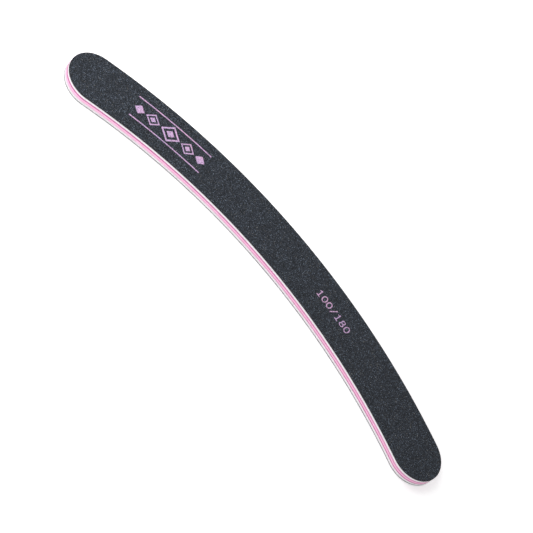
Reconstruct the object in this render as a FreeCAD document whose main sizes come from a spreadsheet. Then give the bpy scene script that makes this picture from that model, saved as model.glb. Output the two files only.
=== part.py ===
"""Curved emery board: a die-cut laminate of eleven layers, lying flat on its fine face.

Every layer has the same banana outline, two concentric arcs closed by full-round ends.
The frame is millimetres, +X along the board, +Y towards the bulge of the bow and +Z up.
The origin is on the lower face, at the centre of the board's bounding box.
"""

import FreeCAD, Part
import math
import os
import Sketcher

OUT_FOLDER = "parts"

# Driving dimensions: name, size in millimetres, what it measures.
SIZES = (
    ("board_length", 178.0, "tip to tip, straight across the bow"),
    ("board_width", 20.0, "across the working face, also the diameter of the round ends"),
    ("bow_radius", 218.0, "radius of the board's centreline"),
    ("coarse_coat", 0.16, "grit and resin of the upper face"),
    ("fine_coat", 0.14, "grit and resin of the lower face"),
    ("backing_paper", 0.15, "waterproof paper that carries the grit"),
    ("paper_bond", 0.05, "adhesive film between paper and cushion"),
    ("foam_cushion", 0.75, "soft white layer that lets the face follow a nail"),
    ("core_bond", 0.10, "adhesive film between cushion and core"),
    ("core_board", 1.35, "stiff pink sheet in the middle"),
    ("bond_inset", 0.12, "how far an adhesive film stops short of the cut edge"),
    ("core_bevel", 0.10, "broken corner that the cutting die leaves on the core"),
    ("foam_bevel", 0.14, "shoulder of the foam, which springs back from the cut"),
)

# The laminate from the table up: node name, thickness, inset from the cut edge, bevel of both edges.
# A new board's abrasive paper keeps the sharp edge of the cut.
FLUSH = "0"
SHARP = None
LAYERS = (
    ("lower_grit_coat", "fine_coat", FLUSH, SHARP),
    ("lower_backing_paper", "backing_paper", FLUSH, SHARP),
    ("lower_paper_bond", "paper_bond", "bond_inset", SHARP),
    ("lower_foam_cushion", "foam_cushion", FLUSH, "foam_bevel"),
    ("lower_core_bond", "core_bond", "bond_inset", SHARP),
    ("core_board", "core_board", FLUSH, "core_bevel"),
    ("upper_core_bond", "core_bond", "bond_inset", SHARP),
    ("upper_foam_cushion", "foam_cushion", FLUSH, "foam_bevel"),
    ("upper_paper_bond", "paper_bond", "bond_inset", SHARP),
    ("upper_backing_paper", "backing_paper", FLUSH, SHARP),
    ("upper_grit_coat", "coarse_coat", FLUSH, SHARP),
)

# The largest part of a layer's thickness that one bevel may take.
BEVEL_LIMIT = 0.45


def make_sheet(doc):
    """A spreadsheet with one named cell for each driving dimension."""
    sheet = doc.addObject("Spreadsheet::Sheet", "Sizes")
    for row, (name, size, meaning) in enumerate(SIZES, start=1):
        sheet.set(f"A{row}", name)
        sheet.set(f"B{row}", str(size))
        sheet.setAlias(f"B{row}", name)
        sheet.set(f"C{row}", meaning)
    doc.recompute()
    return sheet


def cell(name):
    """The expression that reads one driving dimension."""
    return name if name == FLUSH else f"Sizes.{name}"


def origin_plane(body, role):
    """One of the body's own origin planes."""
    return next(plane for plane in body.Origin.OriginFeatures if plane.Role == role)


def draw_outline(body, sheet, inset_name):
    """The banana outline, fully constrained, with its box centred on the origin.

    The bow's centre lies on the Y axis, and the ends' centres lie on the centreline.
    """
    inset = 0.0 if inset_name == FLUSH else sheet.get(inset_name)
    half_span = (sheet.get("board_length") - sheet.get("board_width")) / 2
    bow = sheet.get("bow_radius")
    end_drop = math.sqrt(bow**2 - half_span**2)
    centre_drop = (bow + end_drop) / 2
    end_radius = sheet.get("board_width") / 2 - inset
    swing = math.asin(half_span / bow)

    up = FreeCAD.Vector(0, 0, 1)
    bow_centre = FreeCAD.Vector(0, -centre_drop, 0)
    quarter = math.pi / 2

    def arc(centre, radius, start, end):
        return Part.ArcOfCircle(Part.Circle(centre, up, radius), start, end)

    def end_centre(side):
        return FreeCAD.Vector(side * half_span, end_drop - centre_drop, 0)

    sketch = body.newObject("Sketcher::SketchObject", f"{body.Name}_outline")
    sketch.AttachmentSupport = [(origin_plane(body, "XY_Plane"), "")]
    sketch.MapMode = "FlatFace"
    outer = sketch.addGeometry(arc(bow_centre, bow + end_radius, quarter - swing, quarter + swing))
    left = sketch.addGeometry(arc(end_centre(-1), end_radius, quarter + swing, 3 * quarter + swing))
    inner = sketch.addGeometry(arc(bow_centre, bow - end_radius, quarter - swing, quarter + swing))
    right = sketch.addGeometry(arc(end_centre(1), end_radius, -quarter - swing, quarter - swing))

    start, end, centre = 1, 2, 3
    y_axis = -2
    sketch.addConstraint(
        [
            Sketcher.Constraint("Tangent", outer, end, left, start),
            Sketcher.Constraint("Tangent", left, end, inner, end),
            Sketcher.Constraint("Tangent", inner, start, right, start),
            Sketcher.Constraint("Tangent", right, end, outer, start),
            Sketcher.Constraint("Coincident", outer, centre, inner, centre),
            Sketcher.Constraint("PointOnObject", outer, centre, y_axis),
        ]
    )

    origin = (-1, 1)
    span = "(Sizes.board_length - Sizes.board_width) / 2"
    edge = f"Sizes.board_width / 2 - {cell(inset_name)}"
    drop = f"(Sizes.bow_radius + sqrt(Sizes.bow_radius ^ 2 - ({span}) ^ 2)) / 2"
    driven = (
        ("outer_edge", ("Radius", outer, bow + end_radius), f"Sizes.bow_radius + {edge}"),
        ("inner_edge", ("Radius", inner, bow - end_radius), f"Sizes.bow_radius - ({edge})"),
        ("left_end", ("DistanceX", left, centre, *origin, half_span), span),
        ("right_end", ("DistanceX", *origin, right, centre, half_span), span),
        ("bow_centre", ("DistanceY", outer, centre, *origin, centre_drop), drop),
    )
    for name, definition, expression in driven:
        index = sketch.addConstraint(Sketcher.Constraint(*definition))
        sketch.renameConstraint(index, name)
        sketch.setExpression(f"Constraints.{name}", expression)
    return sketch


def flat_faces(shape):
    """The names of a layer's two flat faces, whose outlines are the edges of its cut wall."""
    numbered = enumerate(shape.Faces, start=1)
    return [f"Face{number}" for number, face in numbered if face.Surface.TypeId == "Part::GeomPlane"]


def make_layer(doc, sheet, layer, height):
    """One layer of the laminate: its outline padded to its thickness, at its height in the stack."""
    name, thickness_name, inset_name, bevel_name = layer
    body = doc.addObject("PartDesign::Body", name)
    body.Label = name
    sketch = draw_outline(body, sheet, inset_name)
    pad = body.newObject("PartDesign::Pad", f"{name}_pad")
    pad.Profile = sketch
    pad.setExpression("Length", cell(thickness_name))
    doc.recompute()
    if bevel_name is not SHARP:
        bevel = body.newObject("PartDesign::Chamfer", f"{name}_bevel")
        bevel.Base = (pad, flat_faces(pad.Shape))
        limit = f"{BEVEL_LIMIT} * {cell(thickness_name)}"
        bevel.setExpression("Size", f"min({cell(bevel_name)}; {limit})")
        body.Tip = bevel
    body.setExpression("Placement.Base.z", height)
    doc.recompute()
    return body


def make_laminate(doc, sheet):
    """All the layers, each standing on the sum of those below it."""
    bodies = []
    below = []
    for layer in LAYERS:
        height = " + ".join(below) or FLUSH
        bodies.append(make_layer(doc, sheet, layer, height))
        below.append(cell(layer[1]))
    return bodies


def check(doc, bodies):
    """Stops the build if anything failed to compute."""
    for item in doc.Objects:
        if {"Invalid", "Error"} & set(item.State):
            raise RuntimeError(f"{item.Label} did not compute: {item.State}")
    for body in bodies:
        if body.Shape.isNull() or not body.Shape.isValid() or len(body.Shape.Solids) != 1:
            raise RuntimeError(f"{body.Label} is not one valid solid")


def export(bodies):
    """Each layer's solid in a file of its own."""
    os.makedirs(OUT_FOLDER, exist_ok=True)
    for body in bodies:
        body.Shape.exportStep(os.path.join(OUT_FOLDER, f"{body.Label}.step"))
        box = body.Shape.BoundBox
        print(f"{body.Label}: z {box.ZMin:.3f} to {box.ZMax:.3f} mm, {body.Shape.Volume:.1f} mm3")


def main():
    """Builds the board and writes its layers."""
    doc = FreeCAD.newDocument("emery_board")
    sheet = make_sheet(doc)
    bodies = make_laminate(doc, sheet)
    check(doc, bodies)
    export(bodies)


main()
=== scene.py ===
"""Looks of a curved, cushioned emery board, built around its packed laminate.

The board is a stack of sheets cut to one banana outline: abrasive paper on both faces, a white foam
cushion under each paper and a stiff pink core in the middle. The abrasive faces, the cushions, the core
and the printed marks are made here as meshes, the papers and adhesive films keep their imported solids, and
every piece gets its finish. Sizes are metres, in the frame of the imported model.
"""

import logging
import math
from abc import ABC, abstractmethod
from collections.abc import Callable
from dataclasses import dataclass, fields
from enum import Enum

import bpy
import bmesh
from mathutils import Color, Matrix, Vector


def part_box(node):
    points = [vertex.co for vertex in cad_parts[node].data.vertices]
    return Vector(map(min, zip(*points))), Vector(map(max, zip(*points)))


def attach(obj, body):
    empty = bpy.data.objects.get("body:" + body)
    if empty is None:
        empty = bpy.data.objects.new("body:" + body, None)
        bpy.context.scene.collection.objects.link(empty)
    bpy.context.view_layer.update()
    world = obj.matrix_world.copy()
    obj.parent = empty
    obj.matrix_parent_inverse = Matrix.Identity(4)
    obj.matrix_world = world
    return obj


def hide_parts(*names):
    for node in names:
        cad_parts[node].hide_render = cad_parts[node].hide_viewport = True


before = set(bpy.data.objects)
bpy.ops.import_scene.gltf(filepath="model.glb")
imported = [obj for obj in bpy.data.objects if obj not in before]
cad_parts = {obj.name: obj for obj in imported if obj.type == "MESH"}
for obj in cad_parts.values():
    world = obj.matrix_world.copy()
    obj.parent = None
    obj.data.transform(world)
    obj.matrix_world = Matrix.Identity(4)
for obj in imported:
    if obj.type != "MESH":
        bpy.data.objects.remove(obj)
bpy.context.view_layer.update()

MM = 0.001
BODY = "root"
GRAIN_TONE = "grain_tone"
BAKE_MAP = "OFBake"
BOW_SIZES = ("Bow radius", "Bow centre", "Half run")
QUARTER_TURN = math.pi / 2
SCREEN_WHITE = 255
WHITE = (1.0, 1.0, 1.0, 1.0)

Colour = tuple[float, float, float, float]
Point = tuple[float, float]

# What can go into a node: a signal, another node's output, or a plain value.
Feed = object
Feeds = dict[str | int, Feed]

log = logging.getLogger("emery_board")


class Side(Enum):
    """The board's two faces, each with the word that its pieces' names start with."""

    UPPER = "upper"
    LOWER = "lower"

    def node(self, layer: str) -> str:
        """The name of one of this side's packed layers."""
        return f"{self.value}_{layer}"


class Kind(Enum):
    """The kinds of socket that a node tree has on its outside."""

    NUMBER = "NodeSocketFloat"
    COUNT = "NodeSocketInt"
    CHOICE = "NodeSocketBool"
    PLACE = "NodeSocketVector"
    MESH = "NodeSocketGeometry"
    FINISH = "NodeSocketMaterial"
    PIECE = "NodeSocketObject"


def srgb(red: int, green: int, blue: int) -> Colour:
    """A colour as the shaders take it, from its levels on a screen."""
    screen = Color([level / SCREEN_WHITE for level in (red, green, blue)])
    return (*screen.from_srgb_to_scene_linear(), 1.0)


class NodeWeb:
    """The nodes of one tree, with short ways to add and link them."""

    def __init__(self, tree: bpy.types.NodeTree) -> None:
        """Takes the tree that the nodes go into."""
        self.tree = tree

    def add(self, kind: str, feeds: Feeds | None = None, **settings: object) -> bpy.types.Node:
        """Adds one node.

        Args:
            kind: Blender's name for the kind of node.
            feeds: what goes into the node, by the name or the number of its input.
            settings: the node's own properties.

        Returns:
            The new node.
        """
        node = self.tree.nodes.new(kind)
        for name, value in settings.items():
            setattr(node, name, value)
        for entry, value in (feeds or {}).items():
            self.feed(node.inputs[entry], value)
        return node

    def feed(self, entry: bpy.types.NodeSocket, value: Feed) -> None:
        """Feeds an input.

        Args:
            entry: the input.
            value: a signal or a node's output to link to it, or a plain value to set.
        """
        if isinstance(value, Signal):
            value = value.socket
        if isinstance(value, bpy.types.NodeSocket):
            self.tree.links.new(value, entry)
        else:
            entry.default_value = value

    def signal(
        self, kind: str, feeds: Feeds | None = None, output: str | int = 0, **settings: object
    ) -> "Signal":
        """Adds one node, and takes its output of that name or number."""
        return Signal(self, self.add(kind, feeds, **settings).outputs[output])

    def math(self, operation: str, *values: Feed) -> "Signal":
        """The result of one Math node."""
        return self.signal("ShaderNodeMath", dict(enumerate(values)), operation=operation)

    def vector(self, x: Feed, y: Feed, z: Feed) -> "Signal":
        """Three numbers as one vector."""
        return self.signal("ShaderNodeCombineXYZ", {"X": x, "Y": y, "Z": z})

    def split(self, vector: Feed) -> tuple["Signal", "Signal", "Signal"]:
        """A vector as three numbers."""
        node = self.add("ShaderNodeSeparateXYZ", {"Vector": vector})
        return tuple(Signal(self, socket) for socket in node.outputs)

    def stretch(self, vector: Feed, x: Feed, y: Feed, z: Feed) -> "Signal":
        """A vector with each of its three numbers multiplied."""
        factors = self.vector(x, y, z)
        return self.signal("ShaderNodeVectorMath", {0: vector, 1: factors}, operation="MULTIPLY")


def through(operation: str, turned: bool = False) -> Callable[..., "Signal"]:
    """A method that puts a signal, and what the method is called with, through one Math node.

    Args:
        operation: Blender's name for what the node does.
        turned: whether the signal comes last.

    Returns:
        The method.
    """

    def method(signal: "Signal", *others: Feed) -> "Signal":
        """The result of the Math node."""
        values = (*others, signal) if turned else (signal, *others)
        return signal.web.math(operation, *values)

    return method


@dataclass(frozen=True)
class Signal:
    """A node's output that carries a number, with arithmetic that adds Math nodes.

    Attributes:
        web: the tree's nodes.
        socket: the output.
    """

    web: NodeWeb
    socket: bpy.types.NodeSocket

    __add__ = through("ADD")
    __sub__ = through("SUBTRACT")
    __rsub__ = through("SUBTRACT", turned=True)
    __mul__ = through("MULTIPLY")
    __truediv__ = through("DIVIDE")
    __rtruediv__ = through("DIVIDE", turned=True)
    __pow__ = through("POWER")
    __abs__ = through("ABSOLUTE")
    sin = through("SINE")
    cos = through("COSINE")
    sqrt = through("SQRT")
    sign = through("SIGN")
    floor = through("FLOOR")
    at_least = through("MAXIMUM")
    at_most = through("MINIMUM")
    over = through("GREATER_THAN")

    def __neg__(self) -> "Signal":
        """This with its sign turned."""
        return self * -1.0

    def or_else(self, other: "Signal", choice: "Signal") -> "Signal":
        """This where the choice is one, and another where it is nothing."""
        return other + (self - other) * choice


class Group(NodeWeb):
    """A node tree of its own, with named inputs and outputs."""

    def __init__(self, name: str, kind: str) -> None:
        """Starts an empty tree.

        Args:
            name: the tree's name.
            kind: Blender's name for the kind of tree.
        """
        super().__init__(bpy.data.node_groups.new(name, kind))
        self.entry = self.add("NodeGroupInput")
        self.exit = self.add("NodeGroupOutput")

    def ask(self, name: str, kind: Kind = Kind.NUMBER) -> Signal:
        """Gives the tree a named input, and takes it as the nodes inside see it."""
        self.tree.interface.new_socket(name, in_out="INPUT", socket_type=kind.value)
        return Signal(self, self.entry.outputs[name])

    def ask_all(self, *names: str, kind: Kind = Kind.NUMBER) -> list[Signal]:
        """Gives the tree several named inputs of one kind."""
        return [self.ask(name, kind) for name in names]

    def give(self, name: str, value: Feed, kind: Kind = Kind.NUMBER) -> None:
        """Gives the tree a named output, and feeds it."""
        self.tree.interface.new_socket(name, in_out="OUTPUT", socket_type=kind.value)
        self.feed(self.exit.inputs[name], value)


class Recipe(Group):
    """A Geometry Nodes tree that makes one kind of piece from named sizes."""

    MAP_MARGIN = 0.005

    # The Random Value node's sockets for plain numbers.
    RANDOM_LOW, RANDOM_HIGH, RANDOM_SEED = 2, 3, 8
    RANDOM_NUMBER = 1

    def __init__(self, name: str) -> None:
        """Starts an empty tree of that name."""
        super().__init__(name, "GeometryNodeTree")

    def mesh(self, kind: str, feeds: Feeds, **settings: object) -> bpy.types.NodeSocket:
        """Adds one node and takes the mesh that it puts out first."""
        return self.add(kind, feeds, **settings).outputs[0]

    def position(self) -> tuple[Signal, Signal, Signal]:
        """Where each point is, as three numbers."""
        return self.split(self.add("GeometryNodeInputPosition").outputs[0])

    def normal(self) -> tuple[Signal, Signal, Signal]:
        """Which way each point or face looks, as three numbers."""
        return self.split(self.add("GeometryNodeInputNormal").outputs[0])

    def random(self, low: float, high: float, seed: Feed) -> Signal:
        """A number of its own for each point, between two limits."""
        feeds = {self.RANDOM_LOW: low, self.RANDOM_HIGH: high, self.RANDOM_SEED: seed}
        return self.signal("FunctionNodeRandomValue", feeds, output=self.RANDOM_NUMBER, data_type="FLOAT")

    def bend(self, along: Feed, across: Feed, up: Feed, bow_radius: Signal, bow_centre: Signal) -> Signal:
        """A place on the board, given along and across its bowed centreline.

        Args:
            along: distance along the centreline from the board's middle.
            across: distance from the centreline, towards the outside of the bow.
            up: height over the floor.
            bow_radius: radius of the centreline.
            bow_centre: y of the bow's centre.

        Returns:
            The place as a vector.
        """
        swing = along / bow_radius
        ring = bow_radius + across
        return self.vector(ring * swing.sin(), bow_centre + ring * swing.cos(), up)

    def on_face(self, value: Signal) -> Signal:
        """A number taken once for each whole face."""
        return self.signal("GeometryNodeFieldOnDomain", {0: value}, domain="FACE")

    def join(self, *meshes: Feed) -> bpy.types.NodeSocket:
        """Puts several meshes into one.

        Args:
            meshes: the meshes, in their order.

        Returns:
            The one mesh.
        """
        node = self.add("GeometryNodeJoinGeometry")
        for mesh in reversed(meshes):
            self.feed(node.inputs[0], mesh)
        return node.outputs[0]

    def with_map(self, mesh: Feed, aside: Signal, up: Signal) -> bpy.types.NodeSocket:
        """Gives a mesh the flat map through which its finish can be baked.

        Args:
            mesh: the mesh.
            aside, up: each corner's place on the map, from 0 to 1.

        Returns:
            The mesh with its map.
        """
        spot = self.vector(aside * (1.0 - 2 * self.MAP_MARGIN) + self.MAP_MARGIN, up, 0.0)
        feeds = {"Geometry": mesh, "Name": BAKE_MAP, "Value": spot}
        return self.mesh("GeometryNodeStoreNamedAttribute", feeds, data_type="FLOAT2", domain="CORNER")

    def make(self, name: str, values: dict[str, object]) -> bpy.types.Object:
        """Runs the tree once and keeps what it makes as a plain mesh.

        Args:
            name: the piece's name.
            values: a value for each of the tree's inputs, by name.

        Returns:
            The piece, at the origin and with no modifier.
        """
        blank = bpy.data.meshes.new(name)
        piece = bpy.data.objects.new(name, blank)
        bpy.context.scene.collection.objects.link(piece)
        modifier = piece.modifiers.new(self.tree.name, "NODES")
        modifier.node_group = self.tree
        for item in self.tree.interface.items_tree:
            if item.in_out == "INPUT" and values[item.name] is not None:
                modifier[item.identifier] = values[item.name]
        depsgraph = bpy.context.evaluated_depsgraph_get()
        grown = piece.evaluated_get(depsgraph)
        mesh = bpy.data.meshes.new_from_object(grown, preserve_all_data_layers=True, depsgraph=depsgraph)
        piece.modifiers.remove(modifier)
        piece.data = mesh
        bpy.data.meshes.remove(blank)
        mesh.name = name
        # The grown mesh can start with an empty slot for materials.
        if mesh.materials[0] is None:
            mesh.materials.pop(index=0)
        return piece


class LayerRecipe(Recipe):
    """One die-cut layer: a closed slab of the board's outline, with round shoulders and a rippled wall."""

    MERGE = 0.001 * MM
    COUNTS = {"Stations": "X", "Columns": "Y", "Rows": "Z"}
    RIPPLE_DETAIL = 2.0
    WALL_STRIPS = 4
    FLAT_ROWS = 2
    FLAT_FROM = 0.499
    STRIP_FILL = 0.92

    def __init__(self) -> None:
        """Builds the tree.

        A block of many small faces is wrapped on to the outline. Its length runs along the bow and round
        both ends, its width shrinks to nothing at the tips, and its rows crowd towards both edges.
        """
        super().__init__("Die-cut layer")
        bow_radius, bow_centre, half_run = self.ask_all(*BOW_SIZES)
        end_radius, bottom, top, shoulder = self.ask_all("End radius", "Bottom", "Top", "Shoulder")
        ripple, ripple_size, ripple_draw = self.ask_all("Ripple", "Ripple size", "Ripple draw")
        counts = {f"Vertices {axis}": self.ask(name, Kind.COUNT) for name, axis in self.COUNTS.items()}
        smooth = self.ask("Smooth", Kind.CHOICE)
        finish = self.ask("Finish", Kind.FINISH)

        block = self.mesh("GeometryNodeMeshCube", {"Size": (2.0, 2.0, 2.0), **counts})
        x, y, z = self.position()
        reach = x * (half_run + end_radius * QUARTER_TURN)
        along = reach.at_most(half_run).at_least(-half_run)
        turn = (reach - along) / end_radius
        level = (z * QUARTER_TURN).sin()
        half_height = (top - bottom) / 2.0
        in_shoulder = ((abs(level) - 1.0) * half_height / shoulder + 1.0).at_least(0.0)
        inset = shoulder * (1.0 - (1.0 - in_shoulder**2.0).sqrt())
        edge = end_radius - inset
        across = (y * QUARTER_TURN).sin() * edge * turn.cos()
        past_end = edge * turn.sin()
        up = bottom + (level + 1.0) * half_height
        on_bow = self.bend(along, across, up, bow_radius, bow_centre)
        swing = along / bow_radius
        outward = self.vector(past_end * swing.cos(), -(past_end * swing.sin()), 0.0)
        feeds = {"Geometry": self.mapped(block), "Position": on_bow, "Offset": outward}
        wrapped = self.mesh("GeometryNodeSetPosition", feeds)
        closed = self.mesh("GeometryNodeMergeByDistance", {"Geometry": wrapped, "Distance": self.MERGE})

        place = self.add("GeometryNodeInputPosition").outputs[0]
        finer = 1.0 / ripple_size
        lumps = self.stretch(place, finer, finer, finer * ripple_draw)
        feeds = {"Vector": lumps, "Scale": 1.0, "Detail": self.RIPPLE_DETAIL}
        depth = self.signal("ShaderNodeTexNoise", feeds) * ripple
        side_x, side_y, _ = self.normal()
        pressed = self.vector(-(side_x * depth), -(side_y * depth), 0.0)
        wall = self.mesh("GeometryNodeSetPosition", {"Geometry": closed, "Offset": pressed})
        shaded = self.mesh("GeometryNodeSetShadeSmooth", {"Geometry": wall, "Shade Smooth": smooth})
        real = self.mesh("GeometryNodeRealizeInstances", {"Geometry": shaded})
        dressed = self.mesh("GeometryNodeSetMaterial", {"Geometry": real, "Material": finish})
        self.give("Layer", dressed, Kind.MESH)

    def mapped(self, block: Feed) -> bpy.types.NodeSocket:
        """Lays the block out flat: both walls in strips over most of the map, its flat faces in a row each.

        Args:
            block: the block, before it is wrapped.

        Returns:
            The block with its map.
        """
        x, y, z = ((number + 1.0) / 2.0 for number in self.position())
        run = x * float(self.WALL_STRIPS)
        strip = self.on_face(run).floor()
        wall_row = strip + y * float(self.WALL_STRIPS)
        flat_row = z + 2.0 * self.WALL_STRIPS
        is_flat = abs(self.on_face(z) - 0.5).over(self.FLAT_FROM)
        row = flat_row.or_else(wall_row, is_flat)
        rise = y.or_else(z, is_flat) * self.STRIP_FILL + (1.0 - self.STRIP_FILL) / 2
        up = (row + rise) / (2.0 * self.WALL_STRIPS + self.FLAT_ROWS)
        return self.with_map(block, x.or_else(run - strip, is_flat), up)


class AbrasiveRecipe(Recipe):
    """An abrasive face: a bed of resin with sharp grains in it, some of them covered by a print."""

    SHARD_SIDES = (3, 4)
    CROWDING = 4.0
    WIDTHS = (0.7, 1.25)
    HEIGHTS = (0.55, 1.1)
    TONES = (0.02, 1.0)
    CHIP = 0.25
    BED_STATIONS = 1200
    EDGE = 0.001 * MM
    TEAR = 0.05 * MM
    TEAR_SIZE = 0.5 * MM
    FACES_UP = 0.5
    LOOK_DOWN = 1.0 * MM
    MAP_STRIPS = 3
    MAP_SHARE = 0.84
    STRIP_FILL = 0.97
    WALL_FILL = 0.1

    def __init__(self, layer: LayerRecipe) -> None:
        """Builds the tree.

        Args:
            layer: the tree of a die-cut layer, which makes the bed.
        """
        super().__init__("Abrasive face")
        bow = dict(zip(BOW_SIZES, self.ask_all(*BOW_SIZES)))
        end_radius, bottom, bed_top, crest = self.ask_all("End radius", "Bottom", "Bed top", "Crest")
        spacing, radius, height = self.ask_all("Spacing", "Grain radius", "Grain height")
        sink, tilt, margin = self.ask_all("Sink", "Tilt", "Margin")
        seed = self.ask("Seed", Kind.COUNT)
        resin, grain, ink = self.ask_all("Resin", "Grain", "Ink", kind=Kind.FINISH)
        prints = self.ask_all("Band", "Numbers", kind=Kind.PIECE)

        plain = {"Shoulder": self.EDGE, "Ripple size": self.TEAR_SIZE, "Ripple draw": 0.0, "Rows": 2}
        plain |= {"Stations": self.BED_STATIONS, "Columns": 2, "Smooth": False, "Finish": resin}
        plain |= {"Bottom": bottom, "Top": bed_top, **bow}
        torn = {"Ripple": self.TEAR, "End radius": end_radius}
        inner = {"Ripple": 0.0, "End radius": end_radius - margin}
        bed = self.mesh("GeometryNodeGroup", plain | torn, node_tree=layer.tree)
        slab = self.mesh("GeometryNodeGroup", plain | inner, node_tree=layer.tree)
        feeds = {"Geometry": slab, "Selection": self.normal()[2].over(self.FACES_UP)}
        ground = self.mesh("GeometryNodeSeparateGeometry", feeds, domain="FACE")

        feeds = {"Mesh": ground, "Distance Min": spacing}
        feeds |= {"Density Max": self.CROWDING / (spacing * spacing), "Seed": seed}
        scattered = self.mesh("GeometryNodeDistributePointsOnFaces", feeds, distribute_method="POISSON")
        seated = {"Geometry": scattered, "Offset": self.vector(0.0, 0.0, -sink)}
        spots = self.mesh("GeometryNodeSetPosition", seated)
        lean = self.vector(
            self.random(-1.0, 1.0, seed + 1.0) * tilt,
            self.random(-1.0, 1.0, seed + 2.0) * tilt,
            self.random(0.0, math.tau, seed + 3.0),
        )
        growth = self.vector(
            self.random(*self.WIDTHS, seed + 4.0) * radius,
            self.random(*self.WIDTHS, seed + 5.0) * radius,
            self.random(*self.HEIGHTS, seed + 6.0) * height,
        )
        feeds = {"Points": spots, "Instance": self.shards(), "Pick Instance": True}
        planted = self.mesh("GeometryNodeInstanceOnPoints", feeds | {"Rotation": lean, "Scale": growth})
        feeds = {"Geometry": planted, "Name": GRAIN_TONE, "Value": self.random(*self.TONES, seed + 7.0)}
        toned = self.mesh("GeometryNodeStoreNamedAttribute", feeds, data_type="FLOAT", domain="INSTANCE")

        real = self.mesh("GeometryNodeRealizeInstances", {"Geometry": self.join(bed, toned)})
        is_grain = self.signal("GeometryNodeInputNamedAttribute", {"Name": GRAIN_TONE}).over(0.0)
        x, y, z = self.position()
        chip = radius * self.CHIP
        broken = self.vector(
            x + self.random(-1.0, 1.0, seed + 8.0) * chip,
            y + self.random(-1.0, 1.0, seed + 9.0) * chip,
            (z + self.random(-1.0, 1.0, seed + 10.0) * chip).at_least(bottom).at_most(crest),
        )
        feeds = {"Geometry": real, "Selection": is_grain, "Position": broken}
        sharp = self.mesh("GeometryNodeSetPosition", feeds)
        flat = self.mesh("GeometryNodeSetShadeSmooth", {"Geometry": sharp, "Shade Smooth": False})

        films = self.join(*(self.film(piece) for piece in prints))
        feeds = {"Target Geometry": films, "Source Position": self.vector(x, y, crest + self.LOOK_DOWN)}
        feeds |= {"Ray Direction": (0.0, 0.0, -1.0), "Ray Length": 2 * self.LOOK_DOWN}
        inked = self.signal("GeometryNodeRaycast", feeds, output="Is Hit") * is_grain
        mapped = self.mapped(flat, bow, end_radius, (z - bottom) / (crest - bottom))
        dressed = self.mesh("GeometryNodeSetMaterial", {"Geometry": mapped, "Material": resin})
        for finish, where in ((grain, is_grain), (ink, inked)):
            feeds = {"Geometry": dressed, "Material": finish, "Selection": where}
            dressed = self.mesh("GeometryNodeSetMaterial", feeds)
        self.give("Face", dressed, Kind.MESH)

    def mapped(
        self, face: Feed, bow: dict[str, Signal], end_radius: Signal, level: Signal
    ) -> bpy.types.NodeSocket:
        """Lays the face out flat: what looks up in strips over most of the map, the rest in one more.

        Args:
            face: the mesh of the face.
            bow: the bow's radius, centre and half run.
            end_radius: radius of the board's round ends.
            level: each point's height, from 0 at the bottom to 1 at the crest.

        Returns:
            The mesh with its map.
        """
        x, y, _ = self.position()
        y = y - bow["Bow centre"]
        run = self.math("ARCTAN2", x, y) * bow["Bow radius"] / ((bow["Half run"] + end_radius) * 2.0) + 0.5
        side = ((x * x + y * y).sqrt() - bow["Bow radius"]) / (end_radius * 2.0) + 0.5
        strips = run * float(self.MAP_STRIPS)
        strip = self.on_face(strips).floor()
        looks_up = self.on_face(self.normal()[2]).over(0.0)
        upper = (strip + side * self.STRIP_FILL) / float(self.MAP_STRIPS) * self.MAP_SHARE
        beside = side * (1.0 - self.WALL_FILL) + level * self.WALL_FILL
        lower = beside * (1.0 - self.MAP_SHARE) + self.MAP_SHARE
        return self.with_map(face, (strips - strip).or_else(run, looks_up), upper.or_else(lower, looks_up))

    def shards(self) -> bpy.types.NodeSocket:
        """The shapes that grains have before they are broken.

        Returns:
            Small pyramids of unit size, as instances.
        """
        cones = []
        for sides in self.SHARD_SIDES:
            feeds = {"Vertices": sides, "Radius Top": 0.0, "Radius Bottom": 1.0, "Depth": 1.0}
            cone = self.mesh("GeometryNodeMeshCone", feeds)
            cones.append(self.mesh("GeometryNodeGeometryToInstance", {0: cone}))
        return self.join(*cones)

    def film(self, piece: Signal) -> bpy.types.NodeSocket:
        """The mesh of a print."""
        return self.add("GeometryNodeObjectInfo", {"Object": piece}).outputs["Geometry"]


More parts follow.
